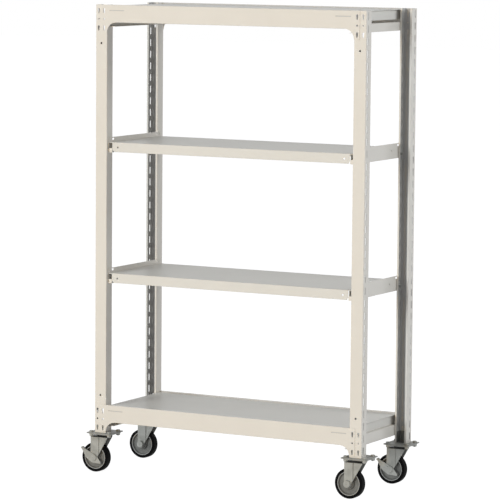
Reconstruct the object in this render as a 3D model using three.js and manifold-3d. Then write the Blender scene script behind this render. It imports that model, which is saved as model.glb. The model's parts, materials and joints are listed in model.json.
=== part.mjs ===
// Mobile steel shelving: four slotted posts, a beam frame at the top and at the foot, four boards
// and four swivel castors, two of them with a foot brake. Millimetres, +Z up, front towards -Y.

import * as THREE from 'three';
import { mergeVertices } from 'three/addons/utils/BufferGeometryUtils.js';
import Module from 'manifold-3d';

const wasm = await Module();
wasm.setup();

// Overall sizes
const rackWidth = 1255;
const rackDepth = 471;
const postHeight = 1800;
const castorHeight = 169.7;
const fitGap = 0.3;
const overrun = 3;
const weldTolerance = 0.0001;

// Posts: lipped channels of folded sheet, with their backs to the front and to the rear
const postFace = 54.4;
const postSide = 47.4;
const postLip = 8.6;
const postWall = 1.6;
const postBend = 2.8;
const slotPitch = 50;
const slotLength = 31;
const slotWidth = 7;
const slotFromFace = 17;
const firstSlotFromTop = 22.5;
const slotEndMargin = 20;
const roundHoleFromEnd = 59.5;
const hookHoleAboveRound = 34;
const hookHoleBelowRound = 38;
const roundHole = 7.5;
const holeColumnSpacing = 27.2;
const keyholeHead = 9;
const keyholeTail = 5;
const keyholeLength = 22;
const tieHoleFromEnd = 160;
const tieHole = 9;

// Front and rear beams: lipped channels with a gusset at each end that laps over the post
const beamHeight = 73.3;
const beamFlange = 16;
const beamReturn = 10;
const beamWall = 1.6;
const beamBend = 2.8;
const gussetHeight = 114;
const gussetLap = 25.4;
const gussetFillet = 42;
const beadLength = 70;
const beadHeight = 4;
const beadDepth = 1.1;
const beadFromTop = 23.5;
const beadFromPost = 13;
const footBeamTop = 120;

// Boards: folded trays with a hat stiffener below; those of the frames lie a little below the beams
const boardLip = 40.8;
const boardHem = 10;
const boardWall = 1;
const boardBend = 2.4;
const boardLipSetback = 17.2;
const boardSkirtSetback = 13.9;
const boardCornerCut = 9;
const boardHole = 7;
const boardHoleFromEnd = 42.5;
const boardHoleDrop = 21;
const frameBoardDrop = 4.5;
const stiffenerInside = 52;
const stiffenerDrop = 24;
const stiffenerFoot = 16;
const stiffenerWall = 1;

// Side brackets that carry the two middle boards, hung at a slot of the posts
const shelfSlots = [11, 22];
const bracketRise = 20;
const bracketFlange = 18;
const bracketWall = 1.6;
const bracketBend = 2.8;
const bracketTab = 18;
const hookSlotHeight = 8.5;
const hookSlotFromEnd = 14;
const hookSlotLength = 30;
const hookSlotFromTop = 3.8;
const bracketHole = 6;
const bracketHoleFromEnd = 99;
const bracketHoleDrop = 9;
const bracketBoltFromEnd = 11.5;
const bracketBoltDrop = 26;
const bracketBolt = 6;
const bracketBoltFlats = 10;
const bracketBoltHead = 4;
const bracketNut = 5;
const bracketBoltEnd = 2;

// Side rails that tie the posts of the top frame and of the foot frame; the foot board rests on them
const railFlange = 28;
const railWall = 1.6;
const railBend = 2.8;
const topRailDrop = 56;
const railBottomDrop = 91;

// Foot plates: they carry the posts and take the castors
const footPlateSize = 114;
const footPlateWall = 4.2;
const footPlateCorner = 4;
const footPlateSetback = 39;
const stubHeight = 45;
const stubSide = 34;
const stubWall = 2.5;
const boltSpacingX = 86;
const boltSpacingY = 75;
const boltShank = 10;
const boltPlay = 1.2;
const boltFlats = 17;
const boltHeadHeight = 6.5;
const nutHeight = 8;

// Castors: top plate and upper race, fork with lower race, wheel, tyre and axle
const castorTrail = 40;
const crownGap = 23;
const topPlateLength = 106;
const topPlateWidth = 96;
const topPlateWall = 3.8;
const topPlateCorner = 8;
const raceDiameter = 72;
const raceFootDiameter = 64;
const raceHeight = 9;
const raceGap = 0.6;
const kingpinDiameter = 14;
const kingpinPlay = 1.2;
const kingpinHeadDiameter = 24;
const kingpinHeadHeight = 4;
const crownDrop = 17.7;
const crownWall = 4;
const crownDiameter = 66;
const legWall = 3;
const legSpacing = 41;
const legBack = 56;
const legFront = 24;
const legEndRadius = 17;
const legFoldHeight = 6;
const tyreWidth = 32;
const tyreThickness = 12.5;
const tyreShoulder = 5;
const rimWidth = 30;
const rimWall = 4;
const rimLip = 2.5;
const wheelWebWall = 6;
const hubDiameter = 46;
const hubLength = 40;
const axleDiameter = 12;
const axleHeadDiameter = 31;
const axleHeadHeight = 4;
const axleCapHeight = 11.2;
const axleHeadRim = 2;
const axleNutFlats = 19;
const axleNutHeight = 8;
const axleEnd = 2;

// Foot brake: a rocker on the axle, outside the fork
const leverWall = 2.6;
const leverTilt = 39;
const pedalGap = 3.5;
const leverTipWidth = 17;
const leverHubDiameter = 34;
const leverToe = 37;
const leverToeWidth = 9;
const pedalDepth = 9;
const pedalHeight = 10;
const pedalWidth = 15;

// Flat steps that stand for the round faces
const hexagonSides = 6;
const tyreSteps = 24;
const wheelSteps = 16;
const raceSteps = 12;
const pinSteps = 8;
const holeSteps = 6;
const cornerSteps = 1;
const bendSteps = 1;
const filletSteps = 4;
const legEndSteps = 5;

const ivoryPaint = { color: '#e3dbcf', roughness: 0.35, metalness: 0 };
const galvanised = { color: '#a3a29b', roughness: 0.45, metalness: 0.8 };
const zincPlate = { color: '#b4b4ae', roughness: 0.35, metalness: 0.9 };
const blackRubber = { color: '#17181a', roughness: 0.7, metalness: 0 };

// Places worked out from the sizes above
const postBottom = castorHeight + fitGap + footPlateWall + fitGap;
const postTop = postBottom + postHeight;
const frontY = -rackDepth / 2;
const postFrontY = frontY + beamWall + fitGap;
const postCentreX = rackWidth / 2 - postFace / 2;
const postInnerX = rackWidth / 2 - postFace;
const plateCentreY = frontY + footPlateSetback;
const boardHalfLength = postInnerX - fitGap - bracketWall - fitGap;
const boardHalfDepth = rackDepth / 2 - beamFlange - fitGap;
const slotCount = Math.floor((postHeight - firstSlotFromTop - slotEndMargin) / slotPitch) + 1;
const shelfTops = shelfSlots.map((slot) => postTop - firstSlotFromTop - slot * slotPitch);
const bracketBoltY = boardHalfDepth - bracketBoltFromEnd;
const footRailDrop = frameBoardDrop + boardLip + fitGap;
const crownTop = castorHeight - crownDrop;
const wheelDiameter = crownTop - crownWall - crownGap;
const tyreRadius = wheelDiameter / 2;
const leverReach = tyreRadius + pedalGap;
const legOuterY = legSpacing / 2 + legWall;
const leftReach = postCentreX + castorTrail + tyreRadius;
const rightReach = postCentreX + footPlateSize / 2;
const axleBore = axleDiameter / Math.cos(Math.PI / pinSteps) + fitGap * 2;

// Turn a closed geometry into a solid that can be joined and cut, with its faces pointing out
function toSolid(geometry) {
  const bare = geometry.clone();
  bare.deleteAttribute('normal');
  bare.deleteAttribute('uv');
  const merged = mergeVertices(bare, weldTolerance);
  const triVerts = new Uint32Array(merged.index.array);
  const vertProperties = new Float32Array(merged.attributes.position.array);
  if (signedVolume(vertProperties, triVerts) < 0) {
    triVerts.reverse();
  }
  return new wasm.Manifold(new wasm.Mesh({ numProp: 3, vertProperties, triVerts }));
}

function signedVolume(points, corners) {
  const a = new THREE.Vector3();
  const b = new THREE.Vector3();
  const c = new THREE.Vector3();
  let sum = 0;
  for (let i = 0; i < corners.length; i += 3) {
    a.fromArray(points, corners[i] * 3);
    b.fromArray(points, corners[i + 1] * 3);
    c.fromArray(points, corners[i + 2] * 3);
    sum += a.dot(b.cross(c));
  }
  return sum;
}

function toGeometry(solid) {
  const mesh = solid.getMesh();
  const geometry = new THREE.BufferGeometry();
  geometry.setAttribute('position', new THREE.BufferAttribute(mesh.vertProperties, 3));
  geometry.setIndex(new THREE.BufferAttribute(mesh.triVerts, 1));
  return geometry;
}

function join(solids) {
  return solids.reduce((whole, solid) => whole.add(solid));
}

function cut(solid, tools) {
  return tools.reduce((rest, tool) => rest.subtract(tool), solid);
}

// A prism between two heights, from an outline in x and y
function prismZ(shape, z0, z1) {
  const geometry = new THREE.ExtrudeGeometry(shape, { depth: z1 - z0, bevelEnabled: false });
  geometry.translate(0, 0, z0);
  return toSolid(geometry);
}

// A prism along y, from an outline in x and z
function prismY(shape, y0, y1) {
  const geometry = new THREE.ExtrudeGeometry(shape, { depth: y1 - y0, bevelEnabled: false });
  geometry.rotateX(Math.PI / 2);
  geometry.translate(0, y1, 0);
  return toSolid(geometry);
}

// A prism along x, from an outline in y and z
function prismX(shape, x0, x1) {
  const geometry = new THREE.ExtrudeGeometry(shape, { depth: x1 - x0, bevelEnabled: false });
  geometry.rotateX(Math.PI / 2);
  geometry.rotateZ(Math.PI / 2);
  geometry.translate(x0, 0, 0);
  return toSolid(geometry);
}

// Points along an arc
function arc(x, y, radius, fromAngle, toAngle, steps) {
  const points = [];
  for (let step = 0; step <= steps; step += 1) {
    const angle = fromAngle + ((toAngle - fromAngle) * step) / steps;
    points.push([x + radius * Math.cos(angle), y + radius * Math.sin(angle)]);
  }
  return points;
}

function outline(points) {
  return new THREE.Shape(points.map(([x, y]) => new THREE.Vector2(x, y)));
}

// A rectangle between two opposite corners, in any order
function rectangle(x0, y0, x1, y1) {
  return outline([[x0, y0], [x1, y0], [x1, y1], [x0, y1]]);
}

function roundedRectangle(halfX, halfY, radius) {
  const x = halfX - radius;
  const y = halfY - radius;
  return outline([
    ...arc(x, y, radius, 0, Math.PI / 2, cornerSteps),
    ...arc(-x, y, radius, Math.PI / 2, Math.PI, cornerSteps),
    ...arc(-x, -y, radius, Math.PI, Math.PI * 1.5, cornerSteps),
    ...arc(x, -y, radius, Math.PI * 1.5, Math.PI * 2, cornerSteps),
  ]);
}

function circle(x, y, diameter, steps = holeSteps) {
  return outline(arc(x, y, diameter / 2, 0, Math.PI * 2, steps).slice(1));
}

function hexagon(x, y, flats) {
  return circle(x, y, flats / Math.cos(Math.PI / hexagonSides), hexagonSides);
}

// An upright slot; there are many of them, so their round ends are left square
function uprightSlot(x, y, width, length) {
  return rectangle(x - width / 2, y - length / 2, x + width / 2, y + length / 2);
}

// A hook hole: a wide head that narrows down to its tail
function keyhole(x, y) {
  const headY = y + keyholeLength / 2;
  const tailY = y - keyholeLength / 2;
  return outline([
    [x + keyholeHead / 2, headY],
    [x - keyholeHead / 2, headY],
    [x - keyholeTail / 2, tailY],
    [x + keyholeTail / 2, tailY],
  ]);
}

// The outline of a folded sheet from the line of its outer face, wall to the left of the line
function foldedSheet(corners, wall, bend) {
  const line = [];
  corners.forEach((corner, i) => {
    const here = new THREE.Vector2(...corner);
    if (i === 0 || i === corners.length - 1) {
      line.push(here);
      return;
    }
    const inward = new THREE.Vector2(...corners[i - 1]).sub(here).normalize();
    const outward = new THREE.Vector2(...corners[i + 1]).sub(here).normalize();
    const half = inward.angleTo(outward) / 2;
    const centre = here.clone().add(inward.clone().add(outward).setLength(bend / Math.sin(half)));
    const start = here.clone().addScaledVector(inward, bend / Math.tan(half)).sub(centre);
    const turn = Math.sign(outward.cross(inward)) * (Math.PI - half * 2);
    for (let step = 0; step <= bendSteps; step += 1) {
      const spoke = start.clone().rotateAround(new THREE.Vector2(), (turn * step) / bendSteps);
      line.push(centre.clone().add(spoke));
    }
  });
  const inner = line.map((point, i) => {
    const before = line[Math.max(i - 1, 0)];
    const after = line[Math.min(i + 1, line.length - 1)];
    const first = i === 0 ? after.clone().sub(point) : point.clone().sub(before);
    const second = i === line.length - 1 ? first.clone() : after.clone().sub(point);
    const normal = first.normalize().add(second.normalize()).normalize();
    const widen = wall / Math.sqrt((1 + first.dot(second)) / 2);
    return new THREE.Vector2(point.x - normal.y * widen, point.y + normal.x * widen);
  });
  return new THREE.Shape([...line, ...inner.reverse()]);
}

// A solid turned about the y axis from half its section, given as radius and y
function turnedAboutY(section, steps, startAngle = 0) {
  const points = [...section, section[0]].map(([radius, y]) => new THREE.Vector2(radius, y));
  return toSolid(new THREE.LatheGeometry(points, steps, startAngle));
}

// The same about the z axis, from radius and z
function turnedAboutZ(section, steps) {
  const points = [...section, section[0]].map(([radius, z]) => new THREE.Vector2(radius, z));
  return toSolid(new THREE.LatheGeometry(points, steps).rotateX(Math.PI / 2));
}

// The hook holes and the round hole of one post end, in a column at x
function endHoles(x, endZ, towards) {
  const roundZ = endZ + towards * roundHoleFromEnd;
  return [
    keyhole(x, roundZ + hookHoleAboveRound),
    circle(x, roundZ, roundHole),
    keyhole(x, roundZ - hookHoleBelowRound),
  ];
}

// A post with its outer side flange at sideX and its back at the front of the rack
function postSolid(side) {
  const outerX = (side * rackWidth) / 2;
  const innerX = side * postInnerX;
  const centreX = side * postCentreX;
  const rearY = postFrontY + postSide;
  const outerLine = [
    [Math.min(outerX, innerX) + postLip, rearY],
    [Math.min(outerX, innerX), rearY],
    [Math.min(outerX, innerX), postFrontY],
    [Math.max(outerX, innerX), postFrontY],
    [Math.max(outerX, innerX), rearY],
    [Math.max(outerX, innerX) - postLip, rearY],
  ];
  const channel = prismZ(foldedSheet(outerLine, postWall, postBend), postBottom, postTop);
  const slotY = postFrontY + slotFromFace;
  const flangeInside = outerX - side * postWall;
  const slotStart = Math.min(outerX, flangeInside) - overrun;
  const slotEnd = Math.max(outerX, flangeInside) + overrun;
  const slots = [];
  for (let i = 0; i < slotCount; i += 1) {
    const slotZ = postTop - firstSlotFromTop - i * slotPitch;
    const shape = uprightSlot(slotY, slotZ, slotWidth, slotLength);
    slots.push(prismX(shape, slotStart, slotEnd));
  }
  const shapes = [
    circle(centreX, postTop - tieHoleFromEnd, tieHole),
    circle(centreX, postBottom + tieHoleFromEnd, tieHole),
  ];
  [-1, 1].forEach((column) => {
    const x = centreX + (column * holeColumnSpacing) / 2;
    shapes.push(...endHoles(x, postTop, -1), ...endHoles(x, postBottom, 1));
  });
  const boltHoles = shelfTops.map((shelfTop) => {
    const hole = circle(-bracketBoltY, shelfTop - bracketBoltDrop, bracketBolt + fitGap * 2);
    const start = Math.min(innerX, innerX + side * postWall) - overrun;
    return prismX(hole, start, start + postWall + overrun * 2);
  });
  const backStart = postFrontY - overrun;
  const backEnd = postFrontY + postWall + overrun;
  const holes = shapes.map((shape) => prismY(shape, backStart, backEnd));
  return cut(channel, [...slots, ...boltHoles, ...holes]);
}

// The front face of a beam, with a gusset hanging down over the post at each end
function beamFace(topZ) {
  const lapX = postInnerX + gussetLap;
  const filletX = postInnerX - gussetFillet;
  const bottomZ = topZ - beamHeight;
  const filletZ = bottomZ - gussetFillet;
  const gussetZ = topZ - gussetHeight;
  return outline([
    [-lapX, topZ],
    [-lapX, gussetZ],
    [-postInnerX, gussetZ],
    ...arc(-filletX, filletZ, gussetFillet, Math.PI, Math.PI / 2, filletSteps),
    ...arc(filletX, filletZ, gussetFillet, Math.PI / 2, 0, filletSteps),
    [postInnerX, gussetZ],
    [lapX, gussetZ],
    [lapX, topZ],
  ]);
}

// A front beam with its top edge at topZ; endZ and towards give the post end that it hooks on
function beamSolid(topZ, endZ, towards) {
  const bottomZ = topZ - beamHeight;
  const flangeY = frontY + beamFlange;
  const line = [
    [flangeY, topZ - beamReturn],
    [flangeY, topZ],
    [frontY, topZ],
    [frontY, bottomZ],
    [flangeY, bottomZ],
    [flangeY, bottomZ + beamReturn],
  ];
  const halfLength = postInnerX - fitGap;
  const channel = prismX(foldedSheet(line, beamWall, beamBend), -halfLength, halfLength);
  const flatTop = topZ - beamBend;
  const face = prismY(beamFace(topZ), frontY, frontY + beamWall);
  const roundedEdge = prismX(
    rectangle(frontY - overrun, flatTop, frontY + beamWall, topZ + overrun),
    -halfLength,
    halfLength,
  );
  const tools = [];
  [-1, 1].forEach((side) => {
    const x = side * (postCentreX - holeColumnSpacing / 2);
    endHoles(x, endZ, towards).forEach((shape) => {
      tools.push(prismY(shape, frontY - overrun, frontY + beamWall + overrun));
    });
    const beadOuter = side * (postInnerX - beadFromPost);
    const beadInner = beadOuter - side * beadLength;
    const beadTop = topZ - beadFromTop + beadHeight / 2;
    const bead = rectangle(beadInner, beadTop - beadHeight, beadOuter, beadTop);
    tools.push(prismY(bead, frontY - overrun, frontY + beadDepth));
  });
  return cut(join([channel, face.subtract(roundedEdge)]), tools);
}

// A board with its top at z: a tray with lips in front and behind and a skirt at each end
function boardSolid(z) {
  const bottomZ = z - boardLip;
  const line = [
    [-boardHalfDepth + boardHem, bottomZ],
    [-boardHalfDepth, bottomZ],
    [-boardHalfDepth, z],
    [boardHalfDepth, z],
    [boardHalfDepth, bottomZ],
    [boardHalfDepth - boardHem, bottomZ],
  ].reverse();
  const lipHalf = boardHalfLength - boardLipSetback;
  const tray = prismX(foldedSheet(line, boardWall, boardBend), -boardHalfLength, boardHalfLength);
  const skirtInset = bracketWall + fitGap;
  const skirtHalf = boardHalfDepth - skirtInset;
  const cutters = [];
  const skirts = [];
  [-1, 1].forEach((side) => {
    const skirtX = side * (boardHalfLength - boardSkirtSetback);
    const shape = rectangle(skirtX, -skirtHalf, skirtX - side * boardWall, skirtHalf);
    skirts.push(prismZ(shape, bottomZ, z - boardWall / 2));
    const past = side * (boardHalfLength + overrun);
    const open = outline([
      [past, z - boardBend],
      [side * lipHalf, z - boardBend],
      [side * lipHalf, bottomZ + boardCornerCut],
      [side * (lipHalf - boardCornerCut), bottomZ],
      [side * (lipHalf - boardCornerCut), bottomZ - overrun],
      [past, bottomZ - overrun],
    ]);
    cutters.push(prismY(open, -boardHalfDepth - overrun, -boardHalfDepth + boardHem + overrun));
    cutters.push(prismY(open, boardHalfDepth - boardHem - overrun, boardHalfDepth + overrun));
    const holeX = side * (boardHalfLength - boardHoleFromEnd);
    const hole = circle(holeX, z - boardHoleDrop, boardHole);
    cutters.push(prismY(hole, -boardHalfDepth - overrun, -boardHalfDepth + boardWall + overrun));
    cutters.push(prismY(hole, boardHalfDepth - boardWall - overrun, boardHalfDepth + overrun));
  });
  return join([cut(tray, cutters), ...skirts]);
}

// The hat stiffener that is spot-welded below a board
function stiffenerSolid(z) {
  const topZ = z - boardWall - fitGap;
  const bottomZ = topZ - stiffenerDrop;
  const half = stiffenerInside / 2;
  const line = [
    [half + stiffenerFoot, topZ],
    [half, topZ],
    [half, bottomZ],
    [-half, bottomZ],
    [-half, topZ],
    [-half - stiffenerFoot, topZ],
  ];
  const halfLength = boardHalfLength - boardSkirtSetback - boardWall - fitGap;
  return prismX(foldedSheet(line, stiffenerWall, boardBend), -halfLength, halfLength);
}

// The right-hand bracket of a middle board whose top is at z
function bracketSolid(z) {
  const outerX = postInnerX - fitGap;
  const bottomZ = z - boardLip - fitGap - bracketWall;
  const topZ = z + bracketRise;
  const innerX = outerX - bracketFlange;
  const line = [[innerX, bottomZ], [outerX, bottomZ], [outerX, topZ]];
  const angle = prismY(
    foldedSheet(line, bracketWall, bracketBend),
    -boardHalfDepth,
    boardHalfDepth,
  );
  const pieces = [angle];
  const tools = [];
  [-1, 1].forEach((end) => {
    const endY = end * boardHalfDepth;
    const tabY = endY - end * bracketWall;
    const tabTop = bottomZ + bracketTab;
    const tab = rectangle(innerX, bottomZ + bracketWall / 2, outerX - bracketWall / 2, tabTop);
    pieces.push(prismY(tab, Math.min(endY, tabY), Math.max(endY, tabY)));
    const slotStart = end * (boardHalfDepth - hookSlotFromEnd);
    const slotEnd = slotStart - end * hookSlotLength;
    const slotTop = topZ - hookSlotFromTop;
    const slot = rectangle(slotStart, slotTop - hookSlotHeight, slotEnd, slotTop);
    tools.push(prismX(slot, outerX - bracketWall - overrun, outerX + overrun));
    const holeY = end * (boardHalfDepth - bracketHoleFromEnd);
    const hole = circle(holeY, z - bracketHoleDrop, bracketHole);
    tools.push(prismX(hole, outerX - bracketWall - overrun, outerX + overrun));
    const boltHole = circle(end * bracketBoltY, z - bracketBoltDrop, bracketBolt + fitGap * 2);
    tools.push(prismX(boltHole, outerX - bracketWall - overrun, outerX + overrun));
  });
  return cut(join(pieces), tools);
}

// The bolt through a right-hand bracket and the post behind it, with its nut inside the post
function bracketBoltSolid(y, z) {
  const headX = postInnerX - fitGap - bracketWall - fitGap;
  const nutX = postInnerX + postWall + fitGap;
  const nutEnd = nutX + bracketNut;
  return join([
    prismX(hexagon(y, z, bracketBoltFlats), headX - bracketBoltHead, headX),
    prismX(circle(y, z, bracketBolt), headX - bracketBoltHead / 2, nutEnd + bracketBoltEnd),
    prismX(hexagon(y, z, bracketBoltFlats), nutX, nutEnd),
  ]);
}

// The right-hand rail of a frame whose beams have their top at z, with its own top lower by drop
function railSolid(z, drop) {
  const outerX = postInnerX - fitGap;
  const innerX = outerX - railFlange;
  const topZ = z - drop;
  const bottomZ = z - railBottomDrop;
  const line = [[innerX, bottomZ], [outerX, bottomZ], [outerX, topZ], [innerX, topZ]];
  return prismY(foldedSheet(line, railWall, railBend), -boardHalfDepth, boardHalfDepth);
}

// The foot plate of a front post, about the post's centre line, with its stub and four bolts
function footPlateSolid() {
  const bottomZ = castorHeight + fitGap;
  const topZ = bottomZ + footPlateWall;
  const half = footPlateSize / 2;
  const plate = prismZ(roundedRectangle(half, half, footPlateCorner), bottomZ, topZ);
  const stubX = postFace / 2 - postWall - fitGap;
  const stubFront = postFrontY + postWall + fitGap - plateCentreY;
  const stubRear = stubFront + stubSide;
  const stubLine = [[-stubX, stubRear], [-stubX, stubFront], [stubX, stubFront], [stubX, stubRear]];
  const stubShape = foldedSheet(stubLine, stubWall, postBend);
  const stub = prismZ(stubShape, topZ - footPlateWall / 2, topZ + stubHeight);
  const nutTop = castorHeight - topPlateWall - fitGap;
  const pieces = [plate, stub];
  [-1, 1].forEach((sideX) => {
    [-1, 1].forEach((sideY) => {
      const x = (sideX * boltSpacingX) / 2;
      const y = (sideY * boltSpacingY) / 2;
      const head = hexagon(x, y, boltFlats);
      pieces.push(prismZ(head, topZ - footPlateWall / 2, topZ + boltHeadHeight));
      pieces.push(prismZ(circle(x, y, boltShank), nutTop - nutHeight / 2, topZ));
      pieces.push(prismZ(head, nutTop - nutHeight, nutTop));
    });
  });
  return join(pieces);
}

// The castor's top plate with the upper race and the kingpin, riveted over below the crown
function topPlateSolid() {
  const bottomZ = castorHeight - topPlateWall;
  const plateShape = roundedRectangle(topPlateLength / 2, topPlateWidth / 2, topPlateCorner);
  const plate = prismZ(plateShape, bottomZ, castorHeight);
  const crownBottom = crownTop - crownWall;
  const raceBottom = bottomZ - raceHeight;
  const pinBottom = crownBottom - fitGap;
  const race = turnedAboutZ([
    [0, pinBottom - kingpinHeadHeight],
    [kingpinHeadDiameter / 2, pinBottom - kingpinHeadHeight],
    [kingpinHeadDiameter / 2, pinBottom],
    [kingpinDiameter / 2, pinBottom],
    [kingpinDiameter / 2, raceBottom],
    [raceFootDiameter / 2, raceBottom],
    [raceDiameter / 2, castorHeight - topPlateWall / 2],
    [0, castorHeight - topPlateWall / 2],
  ], raceSteps);
  const holes = [];
  [-1, 1].forEach((sideX) => {
    [-1, 1].forEach((sideY) => {
      const x = (sideX * boltSpacingX) / 2;
      const y = (sideY * boltSpacingY) / 2;
      const clearHole = circle(x, y, boltShank + boltPlay);
      holes.push(prismZ(clearHole, bottomZ - overrun, castorHeight + overrun));
    });
  });
  return cut(join([plate, race]), holes);
}

// One side of the fork, in x and z about the swivel axis
function legOutline() {
  return outline([
    [-legBack, crownTop],
    ...arc(-castorTrail, tyreRadius, legEndRadius, Math.PI, Math.PI * 2, legEndSteps),
    [legFront, crownTop - legFoldHeight],
    [legFront, crownTop],
  ]);
}

// The fork: a pressed crown with the lower race and two legs
function forkSolid() {
  const crownBottom = crownTop - crownWall;
  const crown = prismZ(rectangle(-legBack, -legOuterY, legFront, legOuterY), crownBottom, crownTop);
  const raceTop = castorHeight - topPlateWall - raceHeight - raceGap;
  const race = turnedAboutZ([
    [0, crownBottom],
    [crownDiameter / 2, crownBottom],
    [crownDiameter / 2, crownTop],
    [raceFootDiameter / 2, raceTop],
    [0, raceTop],
  ], raceSteps);
  const boreShape = circle(0, 0, kingpinDiameter + kingpinPlay, raceSteps);
  const bore = prismZ(boreShape, crownBottom - overrun, raceTop + overrun);
  const legs = [-1, 1].map((side) => {
    const inner = (side * legSpacing) / 2;
    const outer = inner + side * legWall;
    const leg = prismY(legOutline(), Math.min(inner, outer), Math.max(inner, outer));
    const axleHole = circle(-castorTrail, tyreRadius, axleBore, pinSteps);
    return leg.subtract(prismY(axleHole, -legOuterY - overrun, legOuterY + overrun));
  });
  return join([crown.add(race).subtract(bore), ...legs]);
}

// The wheel centre, about the middle of its own axle
function wheelSolid() {
  const bore = axleBore / 2;
  const hub = hubDiameter / 2;
  const rim = tyreRadius - tyreThickness;
  const rimInside = rim - rimWall;
  const webHalf = wheelWebWall / 2;
  const half = [
    [bore, hubLength / 2],
    [hub - rimLip, hubLength / 2],
    [hub, webHalf],
    [rimInside - rimLip, webHalf],
    [rimInside, rimWidth / 2],
    [rim, rimWidth / 2],
  ];
  const mirrored = half.map(([radius, y]) => [radius, -y]).reverse();
  return turnedAboutY([...half, ...mirrored], wheelSteps);
}

// The tyre, with a flat facet at its lowest point
function tyreSolid() {
  const inner = (tyreRadius - tyreThickness + fitGap) / Math.cos(Math.PI / tyreSteps);
  const outer = tyreRadius / Math.cos(Math.PI / tyreSteps);
  const shoulderY = tyreWidth / 2 - tyreShoulder;
  const half = [
    [inner, rimWidth / 2],
    [outer - tyreShoulder, tyreWidth / 2],
    [outer, shoulderY],
  ];
  const mirrored = half.map(([radius, y]) => [radius, -y]).reverse();
  return turnedAboutY([...half, ...mirrored], tyreSteps, Math.PI / tyreSteps);
}

// The axle bolt: a deep cap on a plain castor, and on a braked one a flat head outside the lever
function axleSolid(braked) {
  const radius = axleDiameter / 2;
  const headRadius = axleHeadDiameter / 2;
  const leverRoom = braked ? leverWall + fitGap : 0;
  const headHeight = braked ? axleHeadHeight : axleCapHeight;
  const headY = -legOuterY - fitGap - leverRoom;
  const nutY = legOuterY + fitGap;
  const bolt = turnedAboutY([
    [0, headY - headHeight],
    [headRadius - axleHeadRim, headY - headHeight],
    [headRadius, headY - headHeight + axleHeadRim],
    [headRadius, headY],
    [radius, headY],
    [radius, nutY + axleNutHeight + axleEnd],
    [0, nutY + axleNutHeight + axleEnd],
  ], pinSteps);
  return bolt.add(prismY(hexagon(0, 0, axleNutFlats), nutY, nutY + axleNutHeight));
}

// The brake lever about the axle, with its arm along -x before it is tilted
function leverSolid() {
  const hubRadius = leverHubDiameter / 2;
  const tipHalf = leverTipWidth / 2;
  const toeHalf = leverToeWidth / 2;
  const plateY = -legOuterY - fitGap;
  const shape = outline([
    [-leverReach, tipHalf],
    [-leverReach, -tipHalf],
    ...arc(0, 0, hubRadius, Math.PI * 1.25, Math.PI * 1.75, filletSteps),
    [leverToe, -toeHalf],
    [leverToe, toeHalf],
    ...arc(0, 0, hubRadius, Math.PI * 0.25, Math.PI * 0.75, filletSteps),
  ]);
  const plate = prismY(shape, plateY - leverWall, plateY);
  const pedalShape = rectangle(
    -leverReach - pedalDepth,
    -pedalHeight / 2,
    -leverReach,
    pedalHeight / 2,
  );
  const pedal = prismY(pedalShape, plateY - leverWall, plateY - leverWall + pedalWidth);
  const axleHole = circle(0, 0, axleBore, pinSteps);
  const bore = prismY(axleHole, plateY - leverWall - overrun, plateY + overrun);
  return join([plate, pedal]).subtract(bore);
}

const rack = new THREE.Group();
rack.position.set((leftReach - rightReach) / 2, 0, 0);

function addPiece(parent, name, geometry, finish) {
  const mesh = new THREE.Mesh(geometry, new THREE.MeshStandardMaterial(finish));
  mesh.name = name;
  parent.add(mesh);
  return mesh;
}

// A half turn about z takes a front piece to the rear, and a right-hand piece to the left
function addTurned(parent, name, geometry, finish) {
  const mesh = addPiece(parent, name, geometry, finish);
  mesh.rotation.z = Math.PI;
  return mesh;
}

// Posts
const leftPost = toGeometry(postSolid(-1));
const rightPost = toGeometry(postSolid(1));
addPiece(rack, 'post_front_left', leftPost, ivoryPaint);
addPiece(rack, 'post_front_right', rightPost, ivoryPaint);
addTurned(rack, 'post_rear_left', rightPost, ivoryPaint);
addTurned(rack, 'post_rear_right', leftPost, ivoryPaint);

// Beams, rails and boards of the top frame and of the foot frame
const frames = [
  { name: 'top', z: postTop, endZ: postTop, towards: -1, drop: topRailDrop },
  { name: 'foot', z: postBottom + footBeamTop, endZ: postBottom, towards: 1, drop: footRailDrop },
];
frames.forEach(({ name, z, endZ, towards, drop }) => {
  const beam = toGeometry(beamSolid(z, endZ, towards));
  const rail = toGeometry(railSolid(z, drop));
  const boardZ = z - frameBoardDrop;
  addPiece(rack, `${name}_beam_front`, beam, ivoryPaint);
  addTurned(rack, `${name}_beam_rear`, beam, ivoryPaint);
  addPiece(rack, `${name}_rail_right`, rail, ivoryPaint);
  addTurned(rack, `${name}_rail_left`, rail, ivoryPaint);
  addPiece(rack, `${name}_board`, toGeometry(boardSolid(boardZ)), ivoryPaint);
  addPiece(rack, `${name}_board_stiffener`, toGeometry(stiffenerSolid(boardZ)), ivoryPaint);
});

// The two middle boards on their brackets
['upper', 'lower'].forEach((name, i) => {
  const z = shelfTops[i];
  const bracket = toGeometry(bracketSolid(z));
  addPiece(rack, `${name}_bracket_right`, bracket, ivoryPaint);
  addTurned(rack, `${name}_bracket_left`, bracket, ivoryPaint);
  addPiece(rack, `${name}_board`, toGeometry(boardSolid(z)), ivoryPaint);
  addPiece(rack, `${name}_board_stiffener`, toGeometry(stiffenerSolid(z)), ivoryPaint);
  const frontBolt = toGeometry(bracketBoltSolid(-bracketBoltY, z - bracketBoltDrop));
  const rearBolt = toGeometry(bracketBoltSolid(bracketBoltY, z - bracketBoltDrop));
  addPiece(rack, `${name}_bolt_front_right`, frontBolt, zincPlate);
  addPiece(rack, `${name}_bolt_rear_right`, rearBolt, zincPlate);
  addTurned(rack, `${name}_bolt_front_left`, rearBolt, zincPlate);
  addTurned(rack, `${name}_bolt_rear_left`, frontBolt, zincPlate);
});

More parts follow.
